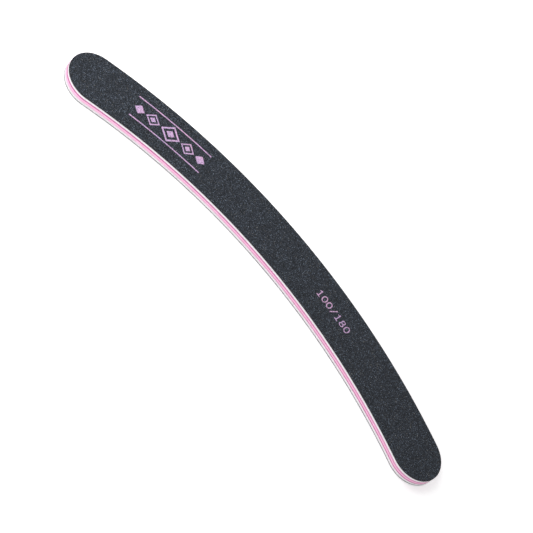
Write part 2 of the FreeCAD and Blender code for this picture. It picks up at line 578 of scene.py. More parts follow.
class BandRecipe(Recipe):
    """A printed band: a row of graded lozenges between two fine rules, laid along the bow as a thin film."""

    SIDES = 4
    RULE_STATIONS = 60
    FRAMED_RANKS = 1.5
    HEART = 0.42
    RING = 0.115

    def __init__(self) -> None:
        """Builds the tree.

        The band is laid out flat about the origin, with a thickness of one, and then bent on to the board.
        """
        super().__init__("Printed band")
        bow = self.ask_all("Bow radius", "Bow centre")
        along, across, foot, thickness = self.ask_all("Along", "Across", "Foot", "Thickness")
        ranks, largest, ratio, gap = self.ask_all("Ranks", "Largest", "Ratio", "Gap")
        line, rule_reach, rule_offset = self.ask_all("Line", "Rule reach", "Rule offset")
        finish = self.ask("Finish", Kind.FINISH)

        index = self.signal("GeometryNodeInputIndex") - ranks
        rank = abs(index)
        share = ratio**rank
        middle = gap * rank + largest * ((1.0 - share) / (1.0 - ratio) - 0.5 + share * 0.5)
        row = self.mesh("GeometryNodeMeshLine", {"Count": ranks * 2.0 + 1.0, "Offset": (0.0, 0.0, 0.0)})
        spots = {"Geometry": row, "Position": self.vector(index.sign() * middle, 0.0, 0.0)}
        points = self.mesh("GeometryNodeSetPosition", spots)
        size = largest * share
        framed = 1.0 - rank.over(self.FRAMED_RANKS)
        heart = size * (1.0 - framed * (1.0 - self.HEART))
        solid = self.mesh("GeometryNodeMeshCylinder", {"Vertices": self.SIDES, "Radius": 0.5, "Depth": 1.0})
        circle = {"Resolution": self.SIDES, "Radius": 0.5 - self.RING / 2}
        ring = self.mesh("GeometryNodeCurvePrimitiveCircle", circle)
        edge = {"Width": self.RING, "Height": 1.0}
        profile = self.mesh("GeometryNodeCurvePrimitiveQuadrilateral", edge)
        lozenge = self.mesh("GeometryNodeCurveToMesh", {"Curve": ring, "Profile Curve": profile})
        parts = []
        for shape, extent, where in ((solid, heart, True), (lozenge, size, framed)):
            feeds = {"Points": points, "Instance": shape, "Selection": where}
            feeds["Scale"] = self.vector(extent, extent, 1.0)
            parts.append(self.mesh("GeometryNodeInstanceOnPoints", feeds))
        strip = {"Size": self.vector(rule_reach * 2.0, line, 1.0), "Vertices X": self.RULE_STATIONS}
        rule = self.mesh("GeometryNodeMeshCube", strip)
        for side in (rule_offset, -rule_offset):
            moved = {"Geometry": rule, "Translation": self.vector(0.0, side, 0.0)}
            parts.append(self.mesh("GeometryNodeTransform", moved))

        real = self.mesh("GeometryNodeRealizeInstances", {"Geometry": self.join(*parts)})
        x, y, z = self.position()
        up = foot + (z + 0.5) * thickness
        spot = self.bend(x + along, y + across, up, *bow)
        bent = self.mesh("GeometryNodeSetPosition", {"Geometry": real, "Position": spot})
        flat = self.mesh("GeometryNodeSetShadeSmooth", {"Geometry": bent, "Shade Smooth": False})
        dressed = self.mesh("GeometryNodeSetMaterial", {"Geometry": flat, "Material": finish})
        self.give("Band", dressed, Kind.MESH)


class Surface(NodeWeb):
    """A material under way: one Principled shader, and patterns that lie on Object coordinates."""

    # The Mix node's sockets for colours.
    AMOUNT, FIRST, SECOND = 0, 6, 7
    MIXED = 2

    def __init__(self, name: str, **constants: object) -> None:
        """Starts a material.

        Args:
            name: the material's name.
            constants: what is the same all over, by the shader's own input names with _ for each space.
        """
        self.material = bpy.data.materials.new(name)
        self.material.use_nodes = True
        super().__init__(self.material.node_tree)
        self.shader = self.tree.nodes["Principled BSDF"]
        self.place = self.add("ShaderNodeTexCoord").outputs["Object"]
        for entry, value in constants.items():
            self.shader.inputs[entry.replace("_", " ")].default_value = value

    def mix(self, amount: Feed, first: Feed, second: Feed) -> Signal:
        """Two colours in one, with more of the second as the amount goes from 0 to 1."""
        feeds = {self.AMOUNT: amount, self.FIRST: first, self.SECOND: second}
        return self.signal("ShaderNodeMix", feeds, output=self.MIXED, data_type="RGBA")

    def spread(self, value: Signal, low: float, high: float) -> Signal:
        """A value from 0 to 1, spread over other limits."""
        return value * (high - low) + low

    def paint(self, colour: Feed, roughness: Feed) -> None:
        """Feeds the shader's colour and roughness."""
        self.feed(self.shader.inputs["Base Color"], colour)
        self.feed(self.shader.inputs["Roughness"], roughness)

    def relief(self, height: Feed, depth: float) -> None:
        """Gives the surface a fine relief of one depth, from a height between 0 and 1."""
        feeds = {"Strength": 1.0, "Distance": depth, "Height": height}
        self.feed(self.shader.inputs["Normal"], self.signal("ShaderNodeBump", feeds, output="Normal"))


class Speckle(Group):
    """Close-packed grains or cells, each with a tone of its own and raised in its middle."""

    def __init__(self) -> None:
        """Builds the shader group."""
        super().__init__("Speckle", "ShaderNodeTree")
        place = self.ask("Place", Kind.PLACE)
        finer = 1.0 / self.ask("Size")
        spots = self.stretch(place, finer, finer, finer)
        cells = self.add("ShaderNodeTexVoronoi", {"Vector": spots, "Scale": 1.0})
        self.give("Tone", self.split(cells.outputs["Color"])[0])
        self.give("Height", 1.0 - Signal(self, cells.outputs["Distance"]))

    def lay(self, surface: Surface, size: float) -> tuple[Signal, Signal]:
        """Lays the pattern on a material.

        Args:
            surface: the material.
            size: how large a grain is.

        Returns:
            The grains' tone and their height, both from 0 to 1.
        """
        feeds = {"Place": surface.place, "Size": size}
        node = surface.add("ShaderNodeGroup", feeds, node_tree=self.tree)
        return Signal(surface, node.outputs["Tone"]), Signal(surface, node.outputs["Height"])


class Mottle(Group):
    """Soft clouds of more and less, which can be drawn out along the height of the board."""

    DETAIL = 3.0
    LIMITS = {"From Min": 0.3, "From Max": 0.7}

    def __init__(self) -> None:
        """Builds the shader group."""
        super().__init__("Mottle", "ShaderNodeTree")
        place = self.ask("Place", Kind.PLACE)
        finer = 1.0 / self.ask("Size")
        clouds = self.stretch(place, finer, finer, finer * self.ask("Draw"))
        feeds = {"Vector": clouds, "Scale": 1.0, "Detail": self.DETAIL}
        noise = self.signal("ShaderNodeTexNoise", feeds)
        self.give("Amount", self.signal("ShaderNodeMapRange", {"Value": noise, **self.LIMITS}))

    def lay(self, surface: Surface, size: float, draw: float = 1.0) -> Signal:
        """Lays the pattern on a material.

        Args:
            surface: the material.
            size: how large a cloud is.
            draw: how much finer the clouds are in height than in plan.

        Returns:
            The clouds, from 0 to 1.
        """
        feeds = {"Place": surface.place, "Size": size, "Draw": draw}
        node = surface.add("ShaderNodeGroup", feeds, node_tree=self.tree)
        return Signal(surface, node.outputs["Amount"])


@dataclass(frozen=True)
class Patterns:
    """The patterns that finishes share.

    Attributes:
        speckle: grains and cells.
        mottle: soft clouds.
    """

    speckle: Speckle
    mottle: Mottle


@dataclass(frozen=True)
class Finish(ABC):
    """A finish of one of the board's materials.

    Attributes:
        name: the material's name.
    """

    GLOSS = 0.2
    ROUGHNESS = (0.7, 0.9)
    RELIEF = 0.02 * MM

    name: str

    def material(self, patterns: Patterns) -> bpy.types.Material:
        """Builds the finish's material.

        Args:
            patterns: the patterns that finishes share.

        Returns:
            The material.
        """
        surface = Surface(self.name, Specular_IOR_Level=self.GLOSS)
        self.lay(surface, patterns)
        return surface.material

    @abstractmethod
    def lay(self, surface: Surface, patterns: Patterns) -> None:
        """Lays the finish on a new material, with the shared patterns."""


@dataclass(frozen=True)
class GritFinish(Finish):
    """Abrasive grains, or the resin between them: charcoal, with specks of many tones; the light grains are
    partly their own tone and partly painted glints.

    Attributes:
        dark, light: the darkest grain, and the lightest, which is partly a painted glint.
        warm: the lightest of the few grains of another mineral.
        speck: size of the finest specks.
        clump: size of the small groups of grains that the resin dulls or leaves bright.
        cloud: size of the patches where the grit is denser.
        own_tone: share of a grain's tone that comes from the grain itself, and not from the specks on it.
        rarity: how much rarer light grains are than dark ones.
        relief: depth of the specks.
    """

    GLOSS = 0.08
    ROUGHNESS = (0.35, 0.75)
    CLUMPS = (0.3, 1.7)
    CLOUDS = (0.9, 1.1)
    MINERAL_DRAW = 37.0
    MINERAL_RARITY = 0.85

    dark: Colour
    light: Colour
    warm: Colour
    speck: float
    clump: float
    cloud: float
    own_tone: float
    rarity: float
    relief: float

    def lay(self, surface: Surface, patterns: Patterns) -> None:
        """Lays the finish on a new material.

        Args:
            surface: the material.
            patterns: the patterns that finishes share.
        """
        grain = surface.signal("ShaderNodeAttribute", output="Fac", attribute_name=GRAIN_TONE)
        tone, height = patterns.speckle.lay(surface, self.speck)
        clump = patterns.mottle.lay(surface, self.clump)
        cloud = patterns.mottle.lay(surface, self.cloud)
        amount = (grain * self.own_tone + tone * (1.0 - self.own_tone)) ** self.rarity
        amount = amount * surface.spread(clump, *self.CLUMPS) * surface.spread(cloud, *self.CLOUDS)
        mineral = surface.math("FRACT", grain * self.MINERAL_DRAW).over(self.MINERAL_RARITY)
        # Light grains are partly the grains' own tones and partly painted glints of their facets.
        light = surface.mix(mineral, self.light, self.warm)
        surface.paint(surface.mix(amount, self.dark, light), surface.spread(tone, *self.ROUGHNESS))
        surface.relief(height, self.relief)


@dataclass(frozen=True)
class InkFinish(Finish):
    """Screen-printed ink on grit: it shifts a little in hue and misses some of the pits.

    Attributes:
        warm, cool: the two hues that the ink shifts between.
        pit: the colour where the ink is missing.
        shift: size of the patches of one hue.
        speck: size of the specks in the ink.
        missed: share of the specks that the ink misses.
    """

    GLOSS = 0.25
    ROUGHNESS = (0.5, 0.7)
    MISS_EDGE = 6.0

    warm: Colour
    cool: Colour
    pit: Colour
    shift: float
    speck: float
    missed: float

    def lay(self, surface: Surface, patterns: Patterns) -> None:
        """Lays the finish on a new material.

        Args:
            surface: the material.
            patterns: the patterns that finishes share.
        """
        hue = surface.mix(patterns.mottle.lay(surface, self.shift), self.warm, self.cool)
        tone, height = patterns.speckle.lay(surface, self.speck)
        bare = ((tone - (1.0 - self.missed)) * self.MISS_EDGE).at_least(0.0).at_most(1.0)
        surface.paint(surface.mix(bare, hue, self.pit), surface.spread(tone, *self.ROUGHNESS))
        surface.relief(height, self.RELIEF)


@dataclass(frozen=True)
class PaperFinish(Finish):
    """The cut edge of abrasive paper: layers of fibre, drawn out along the edge.

    Attributes:
        dark, light: the colours of the resin and of the fibres.
        fibre: length of a fibre's mark along the edge.
    """

    LAYERING = 14.0

    dark: Colour
    light: Colour
    fibre: float

    def lay(self, surface: Surface, patterns: Patterns) -> None:
        """Lays the finish on a new material.

        Args:
            surface: the material.
            patterns: the patterns that finishes share.
        """
        fibres = patterns.mottle.lay(surface, self.fibre, draw=self.LAYERING)
        surface.paint(surface.mix(fibres, self.dark, self.light), surface.spread(fibres, *self.ROUGHNESS))
        surface.relief(fibres, self.RELIEF)


@dataclass(frozen=True)
class FoamFinish(Finish):
    """The cut wall of closed-cell foam: white, with open cells whose pits are darkened as painted shade.

    Attributes:
        skin: the colour of the cells' walls.
        hollow: the painted shade in the pits of the cut cells.
        cell: size of a small cell.
        bubble: size of the few large cells.
        cloud: size of the patches that are a little greyer.
    """

    ROUGHNESS = (0.75, 0.95)
    RELIEF = 0.025 * MM
    BUBBLE_RARITY = 0.72
    CELL_SHARE, BUBBLE_SHARE, CLOUD_SHARE = 0.4, 0.45, 0.15

    skin: Colour
    hollow: Colour
    cell: float
    bubble: float
    cloud: float

    def lay(self, surface: Surface, patterns: Patterns) -> None:
        """Lays the finish on a new material.

        Args:
            surface: the material.
            patterns: the patterns that finishes share.
        """
        tone, cells = patterns.speckle.lay(surface, self.cell)
        rarity, bubbles = patterns.speckle.lay(surface, self.bubble)
        bubbles = bubbles * rarity.over(self.BUBBLE_RARITY)
        cloud = patterns.mottle.lay(surface, self.cloud)
        # The pits of the cells and bubbles are darkened as painted shade, with a little of the greyer
        # clouds.
        depth = cells * tone * self.CELL_SHARE + bubbles * self.BUBBLE_SHARE + cloud * self.CLOUD_SHARE
        surface.paint(surface.mix(depth, self.skin, self.hollow), surface.spread(tone, *self.ROUGHNESS))
        surface.relief(2.0 - cells - bubbles, self.RELIEF)


@dataclass(frozen=True)
class CoreFinish(Finish):
    """The cut wall of the stiff core: pink in the middle, with painted shade in deep pink bands near both
    edges, where the bonds meet it.

    Attributes:
        pale, deep: the two tones of the middle.
        sheared: the deep pink of the painted shade in the bands near both edges.
        mark: spacing of the fine upright marks that the die leaves.
        cloud: size of the patches of one tone.
        low, high: lowest and highest corners of the sheet.
        band_depth: how far in from an edge the middle of its band is.
        band_reach: half the width of a band, with its ragged border.
        border: width of that border.
        upper_band, lower_band: strength of the painted shade in the upper and the lower band at the board's
            two ends.
    """

    GLOSS = 0.35
    ROUGHNESS = (0.45, 0.65)
    RELIEF = 0.012 * MM
    UPRIGHT = 0.08
    MARK_SHARE = 0.55
    RAGGED = 0.5

    pale: Colour
    deep: Colour
    sheared: Colour
    mark: float
    cloud: float
    low: Vector
    high: Vector
    band_depth: float
    band_reach: float
    border: float
    upper_band: tuple[float, float]
    lower_band: tuple[float, float]

    def lay(self, surface: Surface, patterns: Patterns) -> None:
        """Lays the finish on a new material.

        Args:
            surface: the material.
            patterns: the patterns that finishes share.
        """
        marks = patterns.mottle.lay(surface, self.mark, draw=self.UPRIGHT)
        cloud = patterns.mottle.lay(surface, self.cloud)
        tone = marks * self.MARK_SHARE + cloud * (1.0 - self.MARK_SHARE)
        sheet = surface.mix(tone, self.pale, self.deep)
        along, _, height = surface.split(surface.place)
        from_edge = (height - self.low.z).at_most(self.high.z - height)
        ragged = surface.spread(marks, -self.RAGGED, self.RAGGED) * self.border
        from_band = abs(from_edge - self.band_depth) + ragged
        feeds = {"Value": from_band, "From Min": self.band_reach, "From Max": self.band_reach - self.border}
        band = surface.signal("ShaderNodeMapRange", feeds, interpolation_type="SMOOTHSTEP")
        share = (along - self.low.x) / (self.high.x - self.low.x)
        upper = surface.spread(share, *self.upper_band)
        lower = surface.spread(share, *self.lower_band)
        is_upper = height.over((self.low.z + self.high.z) / 2)
        strength = upper.or_else(lower, is_upper).at_least(0.0).at_most(1.0)
        # The bands near both edges are painted shade at the bond lines, and their strength changes from one
        # end of the board to the other.
        colour = surface.mix(band * strength, sheet, self.sheared)
        surface.paint(colour, surface.spread(marks, *self.ROUGHNESS))
        surface.relief(marks, self.RELIEF)


@dataclass(frozen=True)
class AdhesiveFinish(Finish):
    """The edge of an adhesive film: glossy, in beads that catch dust.

    Attributes:
        clear, dusty: the colours of the film and of the dust on it.
        bead: length of a bead.
    """

    GLOSS = 0.5
    ROUGHNESS = (0.25, 0.6)

    clear: Colour
    dusty: Colour
    bead: float

    def lay(self, surface: Surface, patterns: Patterns) -> None:
        """Lays the finish on a new material.

        Args:
            surface: the material.
            patterns: the patterns that finishes share.
        """
        beads = patterns.mottle.lay(surface, self.bead)
        surface.paint(surface.mix(beads, self.clear, self.dusty), surface.spread(beads, *self.ROUGHNESS))
        surface.relief(beads, self.RELIEF)


@dataclass(frozen=True)
class FloorFinish(Finish):
    """A pale studio floor: white to the camera, and still dark enough to take a shadow.

    Attributes:
        pale, paler: the two tones of the floor.
        cloud: size of the patches of one tone.
        lift: light that the floor seems to give off round the board, seen straight or in a reflection.
        far_lift: the same light where the lamps no longer reach the floor.
        near, far: distances from the board's middle between which the one gives way to the other.
    """

    GLOSS = 0.0
    ROUGHNESS = (0.85, 1.0)

    pale: Colour
    paler: Colour
    cloud: float
    lift: float
    far_lift: float
    near: float
    far: float

    def lay(self, surface: Surface, patterns: Patterns) -> None:
        """Lays the finish on a new material.

        Args:
            surface: the material.
            patterns: the patterns that finishes share.
        """
        cloud = patterns.mottle.lay(surface, self.cloud)
        surface.paint(surface.mix(cloud, self.pale, self.paler), surface.spread(cloud, *self.ROUGHNESS))
        feeds = {0: surface.place}
        distance = surface.signal("ShaderNodeVectorMath", feeds, output="Value", operation="LENGTH")
        feeds = {"Value": distance, "From Min": self.near, "From Max": self.far}
        feeds |= {"To Min": self.lift, "To Max": self.far_lift}
        glow = surface.signal("ShaderNodeMapRange", feeds, interpolation_type="SMOOTHSTEP")
        surface.feed(surface.shader.inputs["Emission Color"], WHITE)
        surface.feed(surface.shader.inputs["Emission Strength"], seen_rays(surface) * glow)


def seen_rays(web: NodeWeb) -> Signal:
    """Tells the rays that end in the picture from those that only light the scene.

    Args:
        web: the nodes of a material or of the world.

    Returns:
        One for rays from the camera, straight or by way of gloss or glass, and nothing for other rays.
    """
    path = web.add("ShaderNodeLightPath")
    camera, gloss, glass = (
        Signal(web, path.outputs[f"Is {name} Ray"]) for name in ("Camera", "Glossy", "Transmission")
    )
    return camera.at_least(gloss).at_least(glass)


def inputs(part: object) -> dict[str, object]:
    """A part's fields, by the names that the trees have for them."""
    return {field.name.replace("_", " ").capitalize(): getattr(part, field.name) for field in fields(part)}


@dataclass(frozen=True)
class Outline:
    """The banana outline that every sheet was cut to.

    Attributes:
        width: size across the face, which is also the diameter of the round ends.
        bow_radius: radius of the centreline.
        bow_centre: y of the bow's centre, which lies on the y axis.
        half_run: half of the centreline's length between the centres of the ends.
    """

    width: float
    bow_radius: float
    bow_centre: float
    half_run: float

    @classmethod
    def within(cls, low: Vector, high: Vector, width: float) -> "Outline":
        """The outline that fills a box.

        Args:
            low, high: the box's corners.
            width: size across the face.

        Returns:
            The outline.
        """
        half_span = (high.x - low.x - width) / 2
        sag = high.y - low.y - width
        bow_radius = (half_span**2 + sag**2) / (2 * sag)
        half_run = bow_radius * math.asin(half_span / bow_radius)
        return cls(width, bow_radius, high.y - width / 2 - bow_radius, half_run)

    def values(self) -> dict[str, object]:
        """The outline's sizes, by the names that the trees have for them."""
        return inputs(self) | {"End radius": self.width / 2}

    def place(self, along: float, across: float, up: float) -> Vector:
        """A place on the board.

        Args:
            along: distance along the centreline from the board's middle.
            across: distance from the centreline, towards the outside of the bow.
            up: height over the floor.

        Returns:
            The place.
        """
        swing = along / self.bow_radius
        ring = self.bow_radius + across
        return Vector((ring * math.sin(swing), self.bow_centre + ring * math.cos(swing), up))


def settle(piece: bpy.types.Object, slot: str, *nodes: str) -> None:
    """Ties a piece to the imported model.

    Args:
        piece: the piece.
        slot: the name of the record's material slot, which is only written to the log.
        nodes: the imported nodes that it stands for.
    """
    if nodes:
        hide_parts(*nodes)
    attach(piece, BODY)
    log.info("%s: %d faces, finish %s", piece.name, len(piece.data.polygons), slot)


@dataclass(frozen=True)
class Sheet:
    """A foam cushion or the core: a thick sheet with a die-cut wall.

    Attributes:
        node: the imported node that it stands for.
        slot: its material slot.
        finish: its material.
        outline: the board's outline.
        shoulder: radius of the round edges of its wall.
        ripple: depth of the wall's unevenness.
        ripple_size: size of one lump of it.
        ripple_draw: how much finer the lumps are in height than in plan.
        stations, rows: faces along the wall and up it.
    """

    COLUMNS = 2

    node: str
    slot: str
    finish: bpy.types.Material
    outline: Outline
    shoulder: float
    ripple: float
    ripple_size: float
    ripple_draw: float
    stations: int = 1200
    rows: int = 9

    def build(self, recipe: LayerRecipe) -> bpy.types.Object:
        """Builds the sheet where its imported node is.

        Args:
            recipe: the tree of a die-cut layer.

        Returns:
            The sheet.
        """
        low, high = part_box(self.node)
        values = self.outline.values() | inputs(self)
        values |= {"Bottom": low.z, "Top": high.z, "Columns": self.COLUMNS, "Smooth": True}
        return recipe.make(f"{self.node}_sheet", values)

    def dress(self, piece: bpy.types.Object, padded: bool) -> None:
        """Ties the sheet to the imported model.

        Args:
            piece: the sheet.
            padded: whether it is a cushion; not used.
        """
        settle(piece, self.slot, self.node)


@dataclass(frozen=True)
class AbrasiveFace:
    """One abrasive face: resin and grains.

    Attributes:
        side: which face of the board it is.
        slot: its material slot.
        outline: the board's outline.
        resin, grain, ink: the materials of the bed, the grains and the printed grains.
        spacing: least distance between two grains.
        grain_radius, grain_height: size of a grain.
        relief: height of the tallest grains over the bed.
        sink: how deep a grain sits in the bed.
        tilt: how far a grain leans at most.
        seed: start of the random draws.
    """

    MARGIN = 1.2

    side: Side
    slot: str
    outline: Outline
    resin: bpy.types.Material
    grain: bpy.types.Material
    ink: bpy.types.Material
    spacing: float
    grain_radius: float
    grain_height: float
    relief: float
    sink: float
    tilt: float
    seed: int

    @property
    def node(self) -> str:
        """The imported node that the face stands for."""
        return self.side.node("grit_coat")

    def bed_top(self) -> float:
        """Height of the bed that the grains of a face turned up stand in."""
        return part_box(self.node)[1].z - self.relief

    def build(self, recipe: AbrasiveRecipe, *prints: bpy.types.Object | None) -> bpy.types.Object:
        """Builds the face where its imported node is.

        Args:
            recipe: the tree of an abrasive face.
            prints: the printed films on the face, or None for each that it lacks.

        Returns:
            The face.
        """
        low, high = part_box(self.node)
        values = self.outline.values() | inputs(self) | dict(zip(("Band", "Numbers"), prints))
        values |= {"Bottom": low.z, "Bed top": self.bed_top(), "Crest": high.z}
        values["Margin"] = self.MARGIN * self.grain_radius
        piece = recipe.make(f"{self.node}_grains", values)
        if self.side is Side.LOWER:
            middle = Vector((0.0, 0.0, (low.z + high.z) / 2))
            turn = Matrix.Rotation(math.pi, 4, "Y")
            piece.data.transform(Matrix.Translation(middle) @ turn @ Matrix.Translation(-middle))
        return piece

    def dress(self, piece: bpy.types.Object) -> None:
        """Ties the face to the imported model."""
        settle(piece, self.slot, self.node)


@dataclass(frozen=True)
class PrintedBand:
    """The ornament near one end: a row of graded lozenges between two fine rules.

    Attributes:
        outline: the board's outline.
        ink: its material.
        along, across: where its middle is on the board.
        largest: size of the middle lozenge.
        ratio: size of each lozenge against its larger neighbour.
        ranks: lozenges on each side of the middle one.
        gap: space between lozenges.
        line: width of the rules.
        rule_reach, rule_offset: half the rules' length, and their distance from the middle.
        thickness: of the film of ink.
    """

    outline: Outline
    ink: bpy.types.Material
    along: float
    across: float
    largest: float
    ratio: float
    ranks: int
    gap: float
    line: float
    rule_reach: float
    rule_offset: float
    thickness: float

    def build(self, recipe: BandRecipe, foot: float) -> bpy.types.Object:
        """Builds the film.

        Args:
            recipe: the tree of a printed band.
            foot: height of the bed that it lies on.

        Returns:
            The film.
        """
        values = self.outline.values() | inputs(self)
        values |= {"Foot": foot, "Ranks": float(self.ranks), "Finish": self.ink}
        return recipe.make("print_band", values)

    def dress(self, piece: bpy.types.Object) -> None:
        """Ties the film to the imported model."""
        settle(piece, "print_ink")


@dataclass(frozen=True)
class PrintedNumbers:
    """The two grit numbers, in slab-serif strokes of one width.

    Attributes:
        outline: the board's outline.
        ink: their material.
        text: the numbers.
        start: distance of the first mark's middle along the board.
        across: distance of the numbers' foot from the centreline.
        pitch: distance from mark to mark.
        height, width: size of a round mark.
        stroke: width of the strokes.
        thickness: of the film of ink.
    """

    OVAL_STEPS = 32
    ARM = 0.36
    FLAG_DROP = 0.62
    LOWER_BOWL = 0.56
    BOWL_WIDTHS = (0.92, 0.8)

    # Each stroke of a mark lies a little higher than the one before it, so that no two tops meet.
    LAYER_STEP = 0.1

    outline: Outline
    ink: bpy.types.Material
    text: str
    start: float
    across: float
    pitch: float
    height: float
    width: float
    stroke: float
    thickness: float

    def oval(self, middle: float, width: float, height: float) -> list[Point]:
        """The middle line of a closed round stroke.

        Args:
            middle: height of its centre over the numbers' foot.
            width, height: its outer size.

        Returns:
            Its points, the last one joined to the first.
        """
        wide = (width - self.stroke) / 2
        tall = (height - self.stroke) / 2
        angles = (math.tau * step / self.OVAL_STEPS for step in range(self.OVAL_STEPS))
        return [(wide * math.cos(angle), middle + tall * math.sin(angle)) for angle in angles]

    def strokes(self, mark: str) -> list[tuple[list[Point], bool]]:
        """The strokes that make one mark.

        Args:
            mark: the mark.

        Returns:
            Each stroke's middle line about the mark's own foot, and whether it is closed.
        """
        foot = self.stroke / 2
        top = self.height - foot
        arm = self.width * self.ARM
        if mark == "1":
            stem = [(0.0, foot), (0.0, self.height)]
            flag = [(-arm, top - arm * self.FLAG_DROP), (0.0, top)]
            serif = [(-arm, foot), (arm, foot)]
            return [(line, False) for line in (stem, flag, serif)]
        if mark == "/":
            return [([(-arm, 0.0), (arm, self.height)], False)]
        if mark == "8":
            lower = self.height * self.LOWER_BOWL
            upper = self.height - lower + self.stroke
            wide, narrow = (self.width * share for share in self.BOWL_WIDTHS)
            bowls = ((lower / 2, wide, lower), (self.height - upper / 2, narrow, upper))
            return [(self.oval(*bowl), True) for bowl in bowls]
        return [(self.oval(self.height / 2, self.width, self.height), True)]

    def sides(self, line: list[Point], closed: bool) -> list[tuple[Vector, Vector]]:
        """The two edges of a stroke.

        Args:
            line: its middle line.
            closed: whether its end joins its start.

        Returns:
            For each point of the line, a point on the left edge and one on the right.
        """
        points = [Vector(point) for point in line]
        last = len(points) - 1
        edges = []
        for number, point in enumerate(points):
            before = points[number - 1] if closed or number else point
            after = points[(number + 1) % len(points)] if closed or number < last else point
            ahead = (after - before).normalized() * (self.stroke / 2)
            left = Vector((-ahead.y, ahead.x))
            edges.append((point + left, point - left))
        return edges

    def build(self, foot: float) -> bpy.types.Object:
        """Builds the film, each stroke as a thin closed ribbon.

        Args:
            foot: height of the bed that it lies on.

        Returns:
            The film.
        """
        film = bmesh.new()
        for place, mark in enumerate(self.text):
            along = self.start + place * self.pitch
            for layer, (line, closed) in enumerate(self.strokes(mark)):
                heights = (foot, foot + self.thickness * (1.0 + self.LAYER_STEP * layer))
                self.ribbon(film, self.sides(line, closed), closed, along, heights)
        bmesh.ops.recalc_face_normals(film, faces=film.faces)
        mesh = bpy.data.meshes.new("print_numbers")
        film.to_mesh(mesh)
        film.free()
        mesh.materials.append(self.ink)
        piece = bpy.data.objects.new("print_numbers", mesh)
        bpy.context.scene.collection.objects.link(piece)
        return piece

    def ribbon(
        self,
        film: bmesh.types.BMesh,
        edges: list[tuple[Vector, Vector]],
        closed: bool,
        along: float,
        heights: tuple[float, float],
    ) -> None:
        """Adds one stroke to the film.

        Args:
            film: the film's mesh.
            edges: the stroke's left and right edges about its mark's foot.
            closed: whether its end joins its start.
            along: where the mark's middle is along the board.
            heights: the stroke's underside and top.
        """
        rings = []
        for left, right in edges:
            corners = ((left, heights[0]), (left, heights[1]), (right, heights[1]), (right, heights[0]))
            spots = (self.outline.place(along + p.x, self.across + p.y, up) for p, up in corners)
            rings.append([film.verts.new(spot) for spot in spots])
        pairs = list(zip(rings, rings[1:]))
        if closed:
            pairs.append((rings[-1], rings[0]))
        else:
            film.faces.new(rings[0])
            film.faces.new(rings[-1][::-1])
        for ring, after in pairs:
            for corner in range(4):
                beyond = (corner + 1) % 4
                film.faces.new((ring[corner], ring[beyond], after[beyond], after[corner]))

    def dress(self, piece: bpy.types.Object) -> None:
        """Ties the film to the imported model."""
        settle(piece, "print_ink")


@dataclass(frozen=True)
class PackedLayers:
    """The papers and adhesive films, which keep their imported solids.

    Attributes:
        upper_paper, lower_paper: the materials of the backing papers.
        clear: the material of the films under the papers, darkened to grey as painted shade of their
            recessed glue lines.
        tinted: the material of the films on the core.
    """

    upper_paper: bpy.types.Material
    lower_paper: bpy.types.Material
    clear: bpy.types.Material
    tinted: bpy.types.Material

    def dress(self) -> None:
        """Gives each packed layer its finish."""
        papers = {Side.UPPER: self.upper_paper, Side.LOWER: self.lower_paper}
        for side, paper in papers.items():
            layers = {"backing_paper": paper, "paper_bond": self.clear, "core_bond": self.tinted}
            for layer, finish in layers.items():
                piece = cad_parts[side.node(layer)]
                piece.data.materials.clear()
                piece.data.materials.append(finish)
                log.info("%s: packed solid, finish %s", piece.name, finish.name)


@dataclass(frozen=True)
class Lamp:
    """A round soft lamp, turned to the board's middle.

    Attributes:
        name: its name.
        place: where it hangs.
        size: its diameter.
        power: its power in watts.
    """

    name: str
    place: Vector
    size: float
    power: float

    def build(self) -> None:
        """Hangs the lamp."""
        light = bpy.data.lights.new(self.name, "AREA")
        light.shape = "DISK"
        light.size = self.size
        light.energy = self.power
        lamp = bpy.data.objects.new(self.name, light)
        lamp.location = self.place
        lamp.rotation_euler = (-self.place).to_track_quat("-Z", "Y").to_euler()
        bpy.context.scene.collection.objects.link(lamp)


@dataclass(frozen=True)
class Studio:
    """The floor and the light.

    Attributes:
        floor: the floor's material.
        floor_radius: size of the floor.
        sky: strength of the light from all round.
        lamps: the large soft lamps.
    """

    FLOOR_SIDES = 96

    floor: bpy.types.Material
    floor_radius: float
    sky: float
    lamps: tuple[Lamp, ...]

    def build(self) -> None:
        """Builds the floor, the lamps and the world."""
        self.lay_floor()
        for lamp in self.lamps:
            lamp.build()
        self.light_world()

    def lay_floor(self) -> None:
        """Lays a round floor under the board."""
        shape = bmesh.new()
        bmesh.ops.create_circle(shape, cap_ends=True, radius=self.floor_radius, segments=self.FLOOR_SIDES)
        mesh = bpy.data.meshes.new("floor")
        shape.to_mesh(mesh)
        shape.free()
        mesh.materials.append(self.floor)
        floor = bpy.data.objects.new("floor", mesh)
        bpy.context.scene.collection.objects.link(floor)

    def light_world(self) -> None:
        """Lights the board from all round, before a background that looks white."""
        world = bpy.data.worlds.new("studio")
        world.use_nodes = True
        bpy.context.scene.world = world
        web = NodeWeb(world.node_tree)
        background = web.tree.nodes["Background"]
        seen = seen_rays(web)
        background.inputs["Color"].default_value = WHITE
        web.feed(background.inputs["Strength"], seen * (1.0 - self.sky) + self.sky)


